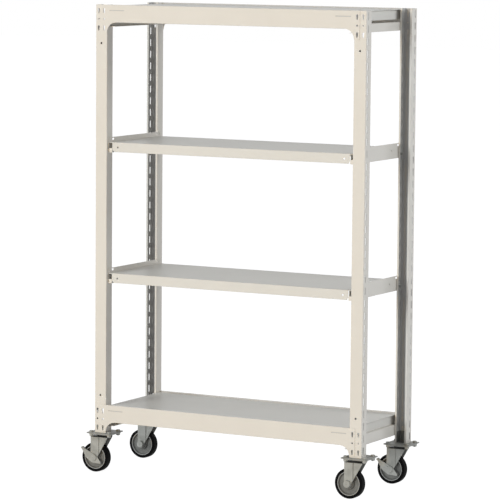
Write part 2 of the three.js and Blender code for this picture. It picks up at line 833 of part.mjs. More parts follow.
// Foot plates and castors, the castors all trailing towards -x
const footPlate = toGeometry(footPlateSolid());
const topPlate = toGeometry(topPlateSolid());
const fork = toGeometry(forkSolid());
const wheel = toGeometry(wheelSolid());
const tyre = toGeometry(tyreSolid());
const lever = toGeometry(leverSolid());
const corners = [
  { name: 'front_left', sideX: -1, sideY: -1, braked: true },
  { name: 'front_right', sideX: 1, sideY: -1, braked: false },
  { name: 'rear_left', sideX: -1, sideY: 1, braked: false },
  { name: 'rear_right', sideX: 1, sideY: 1, braked: true },
];
corners.forEach(({ name, sideX, sideY, braked }) => {
  const castor = new THREE.Group();
  castor.position.set(sideX * postCentreX, -sideY * plateCentreY, 0);
  rack.add(castor);
  const plate = addPiece(castor, `foot_plate_${name}`, footPlate, galvanised);
  plate.rotation.z = sideY > 0 ? Math.PI : 0;
  addPiece(castor, `castor_plate_${name}`, topPlate, zincPlate);
  addPiece(castor, `fork_${name}`, fork, zincPlate);
  const axleGroup = new THREE.Group();
  axleGroup.position.set(-castorTrail, 0, tyreRadius);
  castor.add(axleGroup);
  addPiece(axleGroup, `axle_${name}`, toGeometry(axleSolid(braked)), zincPlate);
  addPiece(axleGroup, `wheel_${name}`, wheel, zincPlate);
  addPiece(axleGroup, `tyre_${name}`, tyre, blackRubber);
  if (braked) {
    const leverMesh = addPiece(axleGroup, `brake_lever_${name}`, lever, zincPlate);
    leverMesh.rotation.y = THREE.MathUtils.degToRad(leverTilt);
  }
});

export default rack;
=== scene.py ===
import json
import math

import bmesh
import bpy
from mathutils import Matrix, Vector

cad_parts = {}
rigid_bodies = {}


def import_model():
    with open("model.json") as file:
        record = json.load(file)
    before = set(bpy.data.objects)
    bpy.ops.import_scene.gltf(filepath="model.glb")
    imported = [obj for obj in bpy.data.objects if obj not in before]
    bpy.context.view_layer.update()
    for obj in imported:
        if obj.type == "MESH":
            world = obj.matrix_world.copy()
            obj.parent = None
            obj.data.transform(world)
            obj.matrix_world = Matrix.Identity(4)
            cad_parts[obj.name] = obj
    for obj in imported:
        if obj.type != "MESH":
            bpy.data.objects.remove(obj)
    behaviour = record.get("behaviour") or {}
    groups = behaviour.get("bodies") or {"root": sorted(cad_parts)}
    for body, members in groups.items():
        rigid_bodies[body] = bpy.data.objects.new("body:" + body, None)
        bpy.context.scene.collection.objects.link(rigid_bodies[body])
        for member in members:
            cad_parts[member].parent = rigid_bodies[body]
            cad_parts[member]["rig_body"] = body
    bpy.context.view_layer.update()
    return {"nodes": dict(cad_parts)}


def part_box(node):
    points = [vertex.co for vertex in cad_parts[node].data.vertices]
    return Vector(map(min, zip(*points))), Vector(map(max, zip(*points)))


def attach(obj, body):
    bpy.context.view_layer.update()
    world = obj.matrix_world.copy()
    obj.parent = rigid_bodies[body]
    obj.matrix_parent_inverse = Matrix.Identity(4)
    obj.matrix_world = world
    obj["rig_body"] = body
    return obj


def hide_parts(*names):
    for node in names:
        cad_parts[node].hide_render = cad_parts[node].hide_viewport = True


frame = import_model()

# Camera: a long lens, low and to the right of the rack's front, at the photograph's viewing angle, and
# rolled by half a degree as the photograph is.
camera_place = Vector((6.1171, -11.301, 2.3367))
camera_azimuth = math.radians(28.4)
camera_elevation = math.radians(6.11)
camera_roll = math.radians(0.48)
camera_data = bpy.data.cameras.new("camera")
camera_data.lens = 223.25
camera_data.sensor_width = 36
camera_data.clip_end = 200


def new_object(name, data):
    thing = bpy.data.objects.new(name, data)
    bpy.context.scene.collection.objects.link(thing)
    return thing


camera = new_object("camera", camera_data)
bpy.context.scene.camera = camera
away = Vector((
    math.sin(camera_azimuth) * math.cos(camera_elevation),
    -math.cos(camera_azimuth) * math.cos(camera_elevation),
    math.sin(camera_elevation),
))
level_right = Vector((math.cos(camera_azimuth), math.sin(camera_azimuth), 0))
level_up = away.cross(level_right)
camera_right = level_right * math.cos(camera_roll) + level_up * math.sin(camera_roll)
camera_up = level_up * math.cos(camera_roll) - level_right * math.sin(camera_roll)
camera.matrix_world = (
    Matrix.Translation(camera_place)
    @ Matrix((camera_right, camera_up, away)).transposed().to_4x4()
)

# Studio: an even pale room, a broad cool lamp at the front left, a warm one straight ahead, both far off
# and low so that the rack's inside stays in the shade, and a weaker cool one at the right rear.
# The background is white to the camera and in reflections, and the floor keeps a faint soft shadow.
bpy.context.scene.view_settings.view_transform = "Standard"
room_light = 0.28
room_tint = (0.97, 1, 1.05, 1)
lamp_target = Vector((0, 0, 0.95))
floor_half = 40
floor_tone = (0.8, 0.8, 0.8, 1)
floor_shadow_tone = (0.25, 0.25, 0.25, 1)
floor_glow = 0.95


class Nodes:
    """A node tree, with one way to give an input a value or a link."""

    def __init__(self, tree):
        self.tree = tree

    def put(self, socket, value):
        if isinstance(value, bpy.types.NodeSocket):
            self.tree.links.new(value, socket)
        elif isinstance(value, (list, tuple)) and any(isinstance(v, bpy.types.NodeSocket) for v in value):
            self.put(socket, self.add("ShaderNodeCombineXYZ", *value))
        else:
            socket.default_value = value

    def add(self, kind, *values, **named):
        """A new node, with values for its inputs in their order or by their names."""
        node = self.tree.nodes.new(kind)
        for socket, value in zip(node.inputs, values):
            self.put(socket, value)
        for name, value in named.items():
            self.put(node.inputs[name.replace("_", " ")], value)
        return node.outputs[0]

    def math(self, operation, *numbers):
        result = self.add("ShaderNodeMath", *numbers)
        result.node.operation = operation
        return result


def split_by_ray(nodes, lighting, seen, output):
    """Light the object with one shader, and show another to the camera, in reflections and through glass."""
    path = nodes.tree.nodes.new("ShaderNodeLightPath").outputs
    mask = path["Is Camera Ray"]
    for ray in ("Is Glossy Ray", "Is Transmission Ray"):
        mask = nodes.math("MAXIMUM", mask, path[ray])
    mixed = nodes.add("ShaderNodeMixShader", mask, lighting, seen)
    nodes.put(nodes.tree.nodes[output].inputs["Surface"], mixed)


world = bpy.data.worlds.new("studio")
world.use_nodes = True
bpy.context.scene.world = world
world_nodes = Nodes(world.node_tree)
room = world.node_tree.nodes["Background"]
room.inputs["Strength"].default_value = room_light
room.inputs["Color"].default_value = room_tint
white = world_nodes.add("ShaderNodeBackground", Color=(1, 1, 1, 1))
split_by_ray(world_nodes, room.outputs[0], white, "World Output")

for lamp_name, place, power, width, tint in (
    ("broad_lamp", Vector((-10.0, -27.5, 8.0)), 4950, 10.0, (0.92, 0.97, 1)),
    ("warm_lamp", Vector((0, -30, 3.05)), 1300, 1.5, (1, 0.58, 0.05)),
    ("side_lamp", Vector((7.6, 0.9, 4.0)), 200, 2.5, (0.93, 0.97, 1)),
):
    lamp_data = bpy.data.lights.new(lamp_name, "AREA")
    lamp_data.energy = power
    lamp_data.size = width
    lamp_data.color = tint
    lamp = new_object(lamp_name, lamp_data)
    lamp.location = place
    lamp.rotation_mode = "QUATERNION"
    lamp.rotation_quaternion = (lamp_target - place).to_track_quat("-Z", "Y")
    lamp.visible_glossy = False

floor_mesh = bpy.data.meshes.new("floor")
floor_corners = [(-1, -1), (1, -1), (1, 1), (-1, 1)]
floor_mesh.from_pydata([(x * floor_half, y * floor_half, 0) for x, y in floor_corners], [], [(0, 1, 2, 3)])
floor = new_object("floor", floor_mesh)
floor_paint = bpy.data.materials.new("studio_floor")
floor_paint.use_nodes = True
floor_nodes = Nodes(floor_paint.node_tree)
floor_nodes.tree.nodes.remove(floor_nodes.tree.nodes["Principled BSDF"])
pale = floor_nodes.add("ShaderNodeBsdfDiffuse", Color=floor_tone)
shaded = floor_nodes.add("ShaderNodeBsdfDiffuse", Color=floor_shadow_tone)
glow = floor_nodes.add("ShaderNodeEmission", Strength=floor_glow)
floor_seen = floor_nodes.add("ShaderNodeAddShader", shaded, glow)
split_by_ray(floor_nodes, pale, floor_seen, "Material Output")
floor_mesh.materials.append(floor_paint)

# Corner posts: lipped channels roll-formed of 1.6 mm sheet, with hook holes punched in the back and
# upright slots punched down the outer side, then powder-coated ivory. They stand with their backs to
# the front and to the rear.
corners = ("front_left", "front_right", "rear_left", "rear_right")
sheet_wall = 0.0016
sheet_bend = 0.0028
bend_steps = 6
post_lip = 0.0086
slot_pitch = 0.05
slot_length = 0.031
slot_width = 0.007
slot_from_face = 0.017
first_slot_from_top = 0.0225
slot_end_margin = 0.02
round_from_end = 0.0595
hook_below_round = 0.038
hook_pitch = 0.072
column_spacing = 0.0272
hook_head = 0.009
hook_tail = 0.005
hook_length = 0.022
round_hole = 0.0075
tie_from_end = 0.16
tie_hole = 0.009
hole_sides = 24
cut_depth = sheet_wall * 4
along_x = (0, math.pi / 2, 0)
along_y = (math.pi / 2, 0, 0)
bracket_bolt_hole = 0.0066
bracket_bolt_drop = 0.026
bracket_bolt_from_front = 0.0278
smooth_below = math.radians(35)
# Painted shade: the grey laid over faces inside channels, on beam returns and in grooves, where shade falls.
painted_shade_grey = (0.6, 0.59, 0.57)


class Finish(Nodes):
    """A material in the making, with its patterns in the piece's own coordinates."""

    def __init__(self, name, shine):
        self.material = bpy.data.materials.new(name)
        self.material.use_nodes = True
        super().__init__(self.material.node_tree)
        self.surface = self.tree.nodes["Principled BSDF"].inputs
        self.surface["Specular IOR Level"].default_value = shine
        self.place = self.tree.nodes.new("ShaderNodeTexCoord").outputs["Object"]

    def noise(self, scale, detail=2):
        return self.add("ShaderNodeTexNoise", Vector=self.place, Scale=scale, Detail=detail)

    def read_mark(self, name):
        """The number that a point or a face of the piece carries under a name."""
        node = self.tree.nodes.new("ShaderNodeAttribute")
        node.attribute_name = name
        return node.outputs["Fac"]

    def colour(self, pattern, dark_to, dark, light_from, light):
        """Colour the surface from a dark to a light tone, as a pattern rises."""
        ramp = self.tree.nodes.new("ShaderNodeValToRGB")
        for end, position, tone in zip(ramp.color_ramp.elements, (dark_to, light_from), (dark, light)):
            end.position = position
            end.color = (*tone, 1)
        self.put(ramp.inputs["Fac"], pattern)
        self.put(self.surface["Base Color"], ramp.outputs["Color"])

    def cover(self, share, tone):
        """Lay a tone over a share of the colour so far."""
        below = self.surface["Base Color"].links[0].from_socket
        self.put(self.surface["Base Color"], self.add("ShaderNodeMixRGB", share, below, (*tone, 1)))

    def roughness(self, pattern, least, most):
        spread = self.add("ShaderNodeMapRange", Value=pattern, To_Min=least, To_Max=most)
        self.put(self.surface["Roughness"], spread)

    def relief(self, pattern, strength, depth):
        """Lay a fine relief over the one so far."""
        sizes = {"Height": pattern, "Strength": strength, "Distance": depth}
        if self.surface["Normal"].is_linked:
            sizes["Normal"] = self.surface["Normal"].links[0].from_socket
        self.put(self.surface["Normal"], self.add("ShaderNodeBump", **sizes))


def powder_coat(name, dark, light, shine, rough):
    """Satin powder coat: faint orange peel, a trace of cloudiness, and a grey tone as painted shade on faces
    marked inside.
    """
    finish = Finish(name, shine)
    finish.surface["IOR"].default_value = 1.45
    cloud = finish.noise(scale=7, detail=4)
    finish.colour(cloud, 0.3, dark, 0.7, light)
    # Painted shade: faces marked inside take the grey tone in place of the shade there.
    finish.cover(finish.read_mark("inside"), painted_shade_grey)
    finish.roughness(cloud, rough, rough + 0.07)
    finish.relief(finish.noise(scale=420), strength=0.06, depth=0.0002)
    return finish.material


ivory = powder_coat("ivory_powder_coat", (0.775, 0.735, 0.67), (0.795, 0.755, 0.69), 0.5, 0.2)


def keep_result(piece):
    """Make what the modifiers of a piece give its plain mesh."""
    depsgraph = bpy.context.evaluated_depsgraph_get()
    made = bpy.data.meshes.new_from_object(piece.evaluated_get(depsgraph), depsgraph=depsgraph)
    piece.modifiers.clear()
    piece.data = made


class PieceTree(Nodes):
    """A tree with named sizes for what repeats on a piece, such as its holes."""

    def __init__(self, name, **sizes):
        super().__init__(bpy.data.node_groups.new(name, "GeometryNodeTree"))
        self.sizes = sizes
        new_socket = self.tree.interface.new_socket
        new_socket("Geometry", in_out="OUTPUT", socket_type="NodeSocketGeometry")
        new_socket("Geometry", in_out="INPUT", socket_type="NodeSocketGeometry")
        kinds = {int: "NodeSocketInt", float: "NodeSocketFloat"}
        for label, value in sizes.items():
            new_socket(label, in_out="INPUT", socket_type=kinds.get(type(value), "NodeSocketMaterial"))
        self.source = self.tree.nodes.new("NodeGroupInput")

    def size(self, label):
        return self.source.outputs[label]

    def slot(self, top_width, bottom_width, length, turn, depth=cut_depth, long_axis=2):
        """A cutter with round ends, long along one axis and turned from z to the way it cuts."""
        ends = self.tree.nodes.new("GeometryNodeJoinGeometry")
        for label, way in ((top_width, 0.5), (bottom_width, -0.5)):
            width = self.size(label)
            round_end = self.add(
                "GeometryNodeMeshCylinder",
                Vertices=hole_sides, Radius=self.math("MULTIPLY", width, 0.5), Depth=depth)
            reach = [0, 0, 0]
            straight = self.math("SUBTRACT", self.size(length), width)
            reach[long_axis] = self.math("MULTIPLY", straight, way)
            placed = self.add(
                "GeometryNodeTransform", Geometry=round_end, Translation=reach, Rotation=turn)
            self.put(ends.inputs[0], placed)
        return self.add("GeometryNodeConvexHull", Geometry=ends.outputs[0])

    def hole(self, width, turn):
        """A cutter for a round hole."""
        return self.slot(width, width, width, turn)

    def repeat(self, geometry, start, count, step):
        """A row of copies, from a start and one step apart."""
        line = self.add("GeometryNodeMeshLine", Count=count, Start_Location=start, Offset=step)
        return self.add("GeometryNodeInstanceOnPoints", Points=line, Instance=geometry)

    def bake(self, piece, geometry, material):
        """End the tree, and make its result on a piece the plain mesh of that piece."""
        real = self.add("GeometryNodeRealizeInstances", Geometry=geometry)
        painted = self.add("GeometryNodeSetMaterial", Geometry=real, Material=self.size(material))
        self.put(self.tree.nodes.new("NodeGroupOutput").inputs[0], painted)
        modifier = piece.modifiers.new(self.tree.name, "NODES")
        modifier.node_group = self.tree
        for item in self.tree.interface.items_tree:
            if item.in_out == "INPUT" and item.name in self.sizes:
                modifier[item.identifier] = self.sizes[item.name]
        keep_result(piece)

    def punch(self, piece, *cutters):
        """Cut holes through a piece, and paint it."""
        node = self.tree.nodes.new("GeometryNodeMeshBoolean")
        node.operation = "DIFFERENCE"
        node.solver = "MANIFOLD"
        self.put(node.inputs["Mesh 1"], self.size("Geometry"))
        for cutter in cutters:
            self.put(node.inputs["Mesh 2"], self.add("GeometryNodeRealizeInstances", Geometry=cutter))
        self.bake(piece, node.outputs[0], "paint")


def loft(sections):
    """A closed solid through sections that have the same number of points."""
    shape = bmesh.new()
    rings = [[shape.verts.new(point) for point in section] for section in sections]
    shape.faces.new(rings[0])
    shape.faces.new(rings[-1])
    for first, second in zip(rings, rings[1:]):
        for i in range(len(first)):
            j = (i + 1) % len(first)
            shape.faces.new((first[i], first[j], second[j], second[i]))
    bmesh.ops.recalc_face_normals(shape, faces=shape.faces)
    return shape


def prism(outline, place, low, high):
    """A solid between two ends, from an outline; place(u, v, w) gives the point in the row frame."""
    return loft([[place(u, v, w) for u, v in outline] for w in (low, high)])


def fold_outline(line, wall, bend):
    """The closed outline of a folded sheet, from the line of one face, with the wall to its left."""
    points = [Vector(corner) for corner in line]
    face = []
    back = []
    for i, here in enumerate(points):
        before = (here - points[i - 1]).normalized() if i > 0 else None
        after = (points[i + 1] - here).normalized() if i < len(points) - 1 else None
        along = before or after
        left = Vector((-along.y, along.x))
        if before is None or after is None:
            face.append(here)
            back.append(here + left * wall)
            continue
        turn = math.atan2(before.x * after.y - before.y * after.x, before.dot(after))
        way = math.copysign(1, turn)
        start = here - before * bend * math.tan(abs(turn) / 2)
        centre = start + left * bend * way
        for step in range(bend_steps + 1):
            spoke = Matrix.Rotation(turn * step / bend_steps, 2) @ (start - centre)
            face.append(centre + spoke)
            back.append(centre + spoke * (bend - way * wall) / bend)
    return face + back[::-1]


def folded(line, place, low, high, wall=sheet_wall, bend=sheet_bend):
    """A length of folded sheet."""
    return prism(fold_outline(line, wall, bend), place, low, high)


def piece_from(name, *shapes):
    """A new piece that holds one or more solids, with its origin at the row frame's."""
    mesh = bpy.data.meshes.new(name)
    whole = bmesh.new()
    for shape in shapes:
        part = bpy.data.meshes.new(name)
        shape.to_mesh(part)
        shape.free()
        whole.from_mesh(part)
        bpy.data.meshes.remove(part)
    whole.to_mesh(mesh)
    whole.free()
    return new_object(name, mesh)


def mark(piece, name, kind, number_at):
    """Give each POINT or FACE of a piece a number for its finish, worked out from its place."""
    numbers = piece.data.attributes.new(name, "FLOAT", kind).data
    if kind == "POINT":
        places = [vertex.co for vertex in piece.data.vertices]
    else:
        places = [face.center for face in piece.data.polygons]
    for number, place in zip(numbers, places):
        number.value = float(number_at(place))


def dress(piece, node, material=None, stands_for_node=True):
    """Smooth the round faces of a finished piece, and put it in the place of its plain solid."""
    if material:
        piece.data.materials.clear()
        piece.data.materials.append(material)
    for polygon in piece.data.polygons:
        polygon.use_smooth = True
    piece.data.set_sharp_from_angle(angle=smooth_below)
    weighted = piece.modifiers.new("weighted_normals", "WEIGHTED_NORMAL")
    weighted.keep_sharp = True
    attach(piece, frame["nodes"][node]["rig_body"])
    if stands_for_node:
        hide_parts(node)


upper_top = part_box("upper_board")[1].z
lower_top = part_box("lower_board")[1].z

for corner in corners:
    post_node = f"post_{corner}"
    low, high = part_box(post_node)
    side = -1 if "left" in corner else 1
    facing = 1 if "front" in corner else -1
    inner_x = low.x if side > 0 else high.x
    back_y = low.y if facing > 0 else high.y
    post_width = high.x - low.x
    post_depth = high.y - low.y
    post_height = high.z - low.z
    line = [
        (post_lip, post_depth), (0, post_depth), (0, 0),
        (post_width, 0), (post_width, post_depth), (post_width - post_lip, post_depth),
    ]
    post = piece_from(f"painted_{post_node}", folded(
        line, lambda u, v, w: (inner_x + side * u, back_y + facing * v, w), low.z, high.z))
    slot_count = int((post_height - first_slot_from_top - slot_end_margin) / slot_pitch) + 1
    tree = PieceTree(
        f"punched_{post_node}",
        slot_pitch=slot_pitch, slot_length=slot_length, slot_width=slot_width,
        slot_count=slot_count, hook_head=hook_head, hook_tail=hook_tail,
        hook_length=hook_length, hook_pitch=hook_pitch, round_hole=round_hole,
        tie_hole=tie_hole, bolt_hole=bracket_bolt_hole, paint=ivory,
    )
    outer_x = inner_x + side * (post_width - sheet_wall / 2)
    slots = tree.repeat(
        tree.slot("slot_width", "slot_width", "slot_length", along_x),
        (outer_x, back_y + facing * slot_from_face, high.z - first_slot_from_top),
        tree.size("slot_count"),
        (0, 0, tree.math("MULTIPLY", tree.size("slot_pitch"), -1)),
    )
    mid_x = (low.x + high.x) / 2
    tie = tree.hole("tie_hole", along_y)
    tie_step = post_height - tie_from_end * 2
    ties = tree.repeat(tie, (mid_x, back_y, low.z + tie_from_end), 2, (0, 0, tie_step))
    bolt_y = math.copysign(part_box("top_beam_rear")[1].y - bracket_bolt_from_front, back_y)
    start = (inner_x + side * sheet_wall / 2, bolt_y, lower_top - bracket_bolt_drop)
    bolt_holes = tree.repeat(tree.hole("bolt_hole", along_x), start, 2, (0, 0, upper_top - lower_top))
    hook = tree.slot("hook_head", "hook_tail", "hook_length", along_y)
    ring = tree.hole("round_hole", along_y)
    punches = [slots, ties, bolt_holes]
    for ring_z in (low.z + round_from_end, high.z - round_from_end):
        for cutter, z, count in ((hook, ring_z - hook_below_round, 2), (ring, ring_z, 1)):
            column = tree.repeat(cutter, (0, 0, 0), count, (0, 0, tree.size("hook_pitch")))
            start = (mid_x - column_spacing / 2, back_y, z)
            punches.append(tree.repeat(column, start, 2, (column_spacing, 0, 0)))
    tree.punch(post, *punches)

    def is_inside(place):
        across = (place.x - inner_x) * side
        deep = (place.y - back_y) * facing
        return min(across, post_width - across, deep, post_depth - deep) > sheet_wall * 0.7

    # Painted shade: the faces inside the channel are marked to take the grey tone of painted shade.
    mark(post, "inside", "POINT", is_inside)
    dress(post, post_node)

# Beams of the top frame and of the foot frame: channels folded of 1.6 mm sheet. A gusset at each end laps
# over the post and a short groove is pressed beside it. The front gussets are punched with the holes of the
# post, and the rear ones lap over them plain. Ivory powder coat, with grey painted shade on the returns
# and in the grooves.
fit_gap = 0.0003
beam_height = 0.0733
beam_return = 0.01
gusset_lap = 0.0254
gusset_fillet = 0.042
gusset_corner = 0.003
gusset_steps = 24
groove_length = 0.07
groove_height = 0.004
groove_depth = 0.0021
groove_wall = 0.0014
groove_from_top = 0.0235
groove_from_gusset = 0.013


def soften(corner_list, steps=8):
    """An outline with round corners, from corners given as x, y and radius."""
    points = []
    for i, (x, y, radius) in enumerate(corner_list):
        here = Vector((x, y))
        if not radius:
            points.append(here)
            continue
        before = (Vector(corner_list[i - 1][:2]) - here).normalized()
        after = (Vector(corner_list[(i + 1) % len(corner_list)][:2]) - here).normalized()
        half = before.angle(after) / 2
        centre = here + (before + after).normalized() * radius / math.sin(half)
        spoke = here + before * radius / math.tan(half) - centre
        turn = math.copysign(math.pi - half * 2, after.x * before.y - after.y * before.x)
        points += [centre + Matrix.Rotation(turn * step / steps, 2) @ spoke for step in range(steps + 1)]
    return points


def combine(piece, operation, *shapes):
    """Join more solids to a piece, or cut them out of it."""
    for shape in shapes:
        tool = piece_from("tool", shape)
        step = piece.modifiers.new("step", "BOOLEAN")
        step.operation = operation
        step.solver = "MANIFOLD"
        step.object = tool
        keep_result(piece)
        bpy.data.objects.remove(tool)


post_low, post_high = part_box("post_front_right")

for beam_node in ("top_beam_front", "top_beam_rear", "foot_beam_front", "foot_beam_rear"):
    low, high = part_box(beam_node)
    facing = 1 if "front" in beam_node else -1
    face_y = low.y if facing > 0 else high.y
    flange = high.y - low.y
    mid_x = (low.x + high.x) / 2
    lap_half = (high.x - low.x) / 2
    post_half = lap_half - gusset_lap
    middle_half = post_half - fit_gap
    fillet_half = post_half - gusset_fillet
    bottom_z = high.z - beam_height
    groove_x = post_half - groove_from_gusset - groove_length / 2
    groove_z = high.z - groove_from_top
    line = [
        (flange, high.z - beam_return), (flange, high.z), (0, high.z),
        (0, bottom_z), (flange, bottom_z), (flange, bottom_z + beam_return),
    ]
    upper_line = line[:3] + [(0, high.z - beam_height / 2)]
    right_side = [
        (fillet_half, bottom_z + sheet_bend, 0),
        (fillet_half, bottom_z, 0),
        (post_half, bottom_z, gusset_fillet - fit_gap),
        (post_half, low.z, 0),
        (lap_half, low.z, gusset_corner),
        (lap_half, high.z, gusset_corner),
        (middle_half, high.z, 0),
        (middle_half, high.z - sheet_bend, 0),
    ]
    face = soften(right_side + [(-x, z, radius) for x, z, radius in reversed(right_side)], gusset_steps)

    def along_beam(u, v, w):
        return (mid_x + w, face_y + facing * u, v)

    def from_face(u, v, w):
        return (mid_x + u, face_y + facing * w, v)

    beam = piece_from(f"painted_{beam_node}", folded(line, along_beam, -fillet_half, fillet_half))
    combine(
        beam,
        "UNION",
        folded(upper_line, along_beam, -middle_half, middle_half),
        prism(face, from_face, 0, sheet_wall),
    )
    for side in (-1, 1):
        bulge = soften([
            (
                side * groove_x + x * (groove_length / 2 + groove_wall),
                groove_z + z * (groove_height / 2 + groove_wall),
                groove_height / 2,
            )
            for x, z in ((-1, -1), (1, -1), (1, 1), (-1, 1))
        ])
        combine(beam, "UNION", prism(bulge, from_face, sheet_wall / 2, groove_depth + groove_wall))
    tree = PieceTree(
        f"punched_{beam_node}",
        hook_head=hook_head, hook_tail=hook_tail, hook_length=hook_length, hook_pitch=hook_pitch,
        round_hole=round_hole, groove_length=groove_length, groove_height=groove_height,
        groove_depth=groove_depth, paint=ivory,
    )
    groove = tree.slot(
        "groove_height", "groove_height", "groove_length", along_y,
        depth=tree.math("MULTIPLY", tree.size("groove_depth"), 2), long_axis=0)
    punched = [(groove, groove_x, groove_z)]
    if facing > 0:
        hook = tree.slot("hook_head", "hook_tail", "hook_length", along_y)
        hooks = tree.repeat(hook, (0, 0, 0), 2, (0, 0, tree.size("hook_pitch")))
        hole_x = (post_low.x + post_high.x) / 2 - mid_x - column_spacing / 2
        ring_z = post_high.z - round_from_end if "top" in beam_node else post_low.z + round_from_end
        punched.append((hooks, hole_x, ring_z - hook_below_round))
        punched.append((tree.hole("round_hole", along_y), hole_x, ring_z))
    tree.punch(beam, *(
        tree.repeat(cutter, (mid_x - x, face_y, z), 2, (x * 2, 0, 0)) for cutter, x, z in punched))

    # Painted shade: the returns and the grooves are marked to take the grey tone of painted shade.
    def in_painted_shade(place):
        in_return = abs(place.y - face_y) > flange - sheet_wall * 1.2
        beside_gusset = abs(abs(place.x - mid_x) - groove_x) < groove_length / 2
        level_with_groove = abs(place.z - groove_z) < groove_height / 2
        in_groove = beside_gusset and level_with_groove and abs(place.y - face_y) > fit_gap
        return in_return or in_groove

    mark(beam, "inside", "FACE", in_painted_shade)
    dress(beam, beam_node)

# Boards: trays folded of 1 mm sheet, with hemmed lips in front and behind that are cut back at the corners
# and a skirt set in at each end. Ivory powder coat, a little duller than the frame's.
board_wall = 0.001
board_bend = 0.0024
board_hem = 0.01
lip_setback = 0.0172
skirt_setback = 0.0139
skirt_inset = 0.0019
lip_corner = 0.009
board_hole = 0.0082
board_hole_from_end = 0.0425
board_hole_drop = 0.021
greyer_ivory = powder_coat("board_powder_coat", (0.76, 0.738, 0.69), (0.78, 0.758, 0.71), 0.1, 0.36)

board_nodes = ("top_board", "upper_board", "lower_board", "foot_board")

for board_node in board_nodes:
    low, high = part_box(board_node)
    mid_x = (low.x + high.x) / 2
    half = (high.x - low.x) / 2
    line = [
        (high.y - board_hem, low.z), (high.y, low.z), (high.y, high.z),
        (low.y, high.z), (low.y, low.z), (low.y + board_hem, low.z),
    ]
    board = piece_from(f"painted_{board_node}", folded(
        line, lambda u, v, w: (mid_x + w, u, v), -half, half, board_wall, board_bend))
    lip_half = half - lip_setback
    open_end = soften([
        (half + cut_depth, high.z - board_bend, 0),
        (lip_half, high.z - board_bend, board_bend),
        (lip_half, low.z + lip_corner, board_bend),
        (lip_half - lip_corner, low.z, board_bend),
        (lip_half - lip_corner, low.z - cut_depth, 0),
        (half + cut_depth, low.z - cut_depth, 0),
    ])
    skirt = soften([
        (low.y + skirt_inset, low.z, board_bend),
        (high.y - skirt_inset, low.z, board_bend),
        (high.y - skirt_inset, high.z - board_wall / 2, 0),
        (low.y + skirt_inset, high.z - board_wall / 2, 0),
    ])
    skirt_half = half - skirt_setback
    for side in (-1, 1):
        combine(board, "DIFFERENCE", prism(
            open_end, lambda u, v, w: (mid_x + side * u, w, v), low.y - cut_depth, high.y + cut_depth))
        combine(board, "UNION", prism(
            skirt, lambda u, v, w: (mid_x + side * w, u, v), skirt_half - board_wall, skirt_half))
    tree = PieceTree(f"punched_{board_node}", board_hole=board_hole, paint=greyer_ivory)
    hole_x = half - board_hole_from_end
    row = tree.repeat(tree.hole("board_hole", along_y), (0, 0, 0), 2, (hole_x * 2, 0, 0))
    start = (mid_x - hole_x, low.y, high.z - board_hole_drop)
    tree.punch(board, tree.repeat(row, start, 2, (0, high.y - low.y, 0)))
    dress(board, board_node)

# Board stiffeners: a hat section of 1 mm sheet, spot-welded under the middle of each board. Its inside is
# painted ivory with the board.
stiffener_half = 0.026

for board_node in board_nodes:
    low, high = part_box(f"{board_node}_stiffener")
    line = [
        (high.y, high.z), (stiffener_half, high.z), (stiffener_half, low.z),
        (-stiffener_half, low.z), (-stiffener_half, high.z), (low.y, high.z),
    ]
    stiffener = piece_from(f"painted_{board_node}_stiffener", folded(
        line, lambda u, v, w: (w, u, v), low.x, high.x, board_wall, board_bend))
    dress(stiffener, f"{board_node}_stiffener", greyer_ivory)

# Side rails: channels of 1.6 mm sheet that tie the posts of the top frame and of the foot frame.
# Ivory powder coat.
for rail_node in ("top_rail_right", "top_rail_left", "foot_rail_right", "foot_rail_left"):
    low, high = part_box(rail_node)
    side = 1 if "right" in rail_node else -1
    outer_x = high.x if side > 0 else low.x
    flange = high.x - low.x
    line = [(flange, high.z), (0, high.z), (0, low.z), (flange, low.z)]
    rail = piece_from(f"painted_{rail_node}", folded(
        line, lambda u, v, w: (outer_x - side * u, w, v), low.y, high.y))
    dress(rail, rail_node, ivory)

# Side brackets of the two middle boards: angles folded of 1.6 mm sheet, bolted between the posts, with a
# hook window near each end and a small hole beside it. Ivory powder coat.
bracket_tab = 0.018
window_height = 0.0085
window_length = 0.03
window_from_end = 0.014
window_from_top = 0.0038
bracket_hole = 0.006
bracket_hole_from_end = 0.099
bracket_hole_drop = 0.009
bracket_bolt_from_end = 0.0115

for bracket_node in (
    "upper_bracket_right", "upper_bracket_left", "lower_bracket_right", "lower_bracket_left",
):
    low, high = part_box(bracket_node)
    side = 1 if "right" in bracket_node else -1
    board_top = upper_top if "upper" in bracket_node else lower_top
    outer_x = high.x if side > 0 else low.x
    flange = high.x - low.x

    def along_bracket(u, v, w):
        return (outer_x - side * u, w, v)

    line = [(0, high.z), (0, low.z), (flange, low.z)]
    bracket = piece_from(f"painted_{bracket_node}", folded(line, along_bracket, low.y, high.y))
    tab = soften([
        (sheet_wall / 2, low.z + sheet_wall / 2, 0),
        (flange, low.z + sheet_wall / 2, 0),
        (flange, low.z + bracket_tab, sheet_bend),
        (sheet_wall / 2, low.z + bracket_tab, 0),
    ])
    for start in (low.y, high.y - sheet_wall):
        combine(bracket, "UNION", prism(tab, along_bracket, start, start + sheet_wall))
    tree = PieceTree(
        f"punched_{bracket_node}",
        window_height=window_height, window_length=window_length, bracket_hole=bracket_hole,
        bolt_hole=bracket_bolt_hole, paint=ivory,
    )
    window = tree.slot("window_height", "window_height", "window_length", along_x, long_axis=1)
    window_mid_z = high.z - window_from_top - window_height / 2
    punches = []
    for cutter, from_end, z in (
        (window, window_from_end + window_length / 2, window_mid_z),
        (tree.hole("bracket_hole", along_x), bracket_hole_from_end, board_top - bracket_hole_drop),
        (tree.hole("bolt_hole", along_x), bracket_bolt_from_end, board_top - bracket_bolt_drop),
    ):
        start = (outer_x - side * sheet_wall / 2, low.y + from_end, z)
        punches.append(tree.repeat(cutter, start, 2, (0, high.y - low.y - from_end * 2, 0)))
    tree.punch(bracket, *punches)
    dress(bracket, bracket_node)

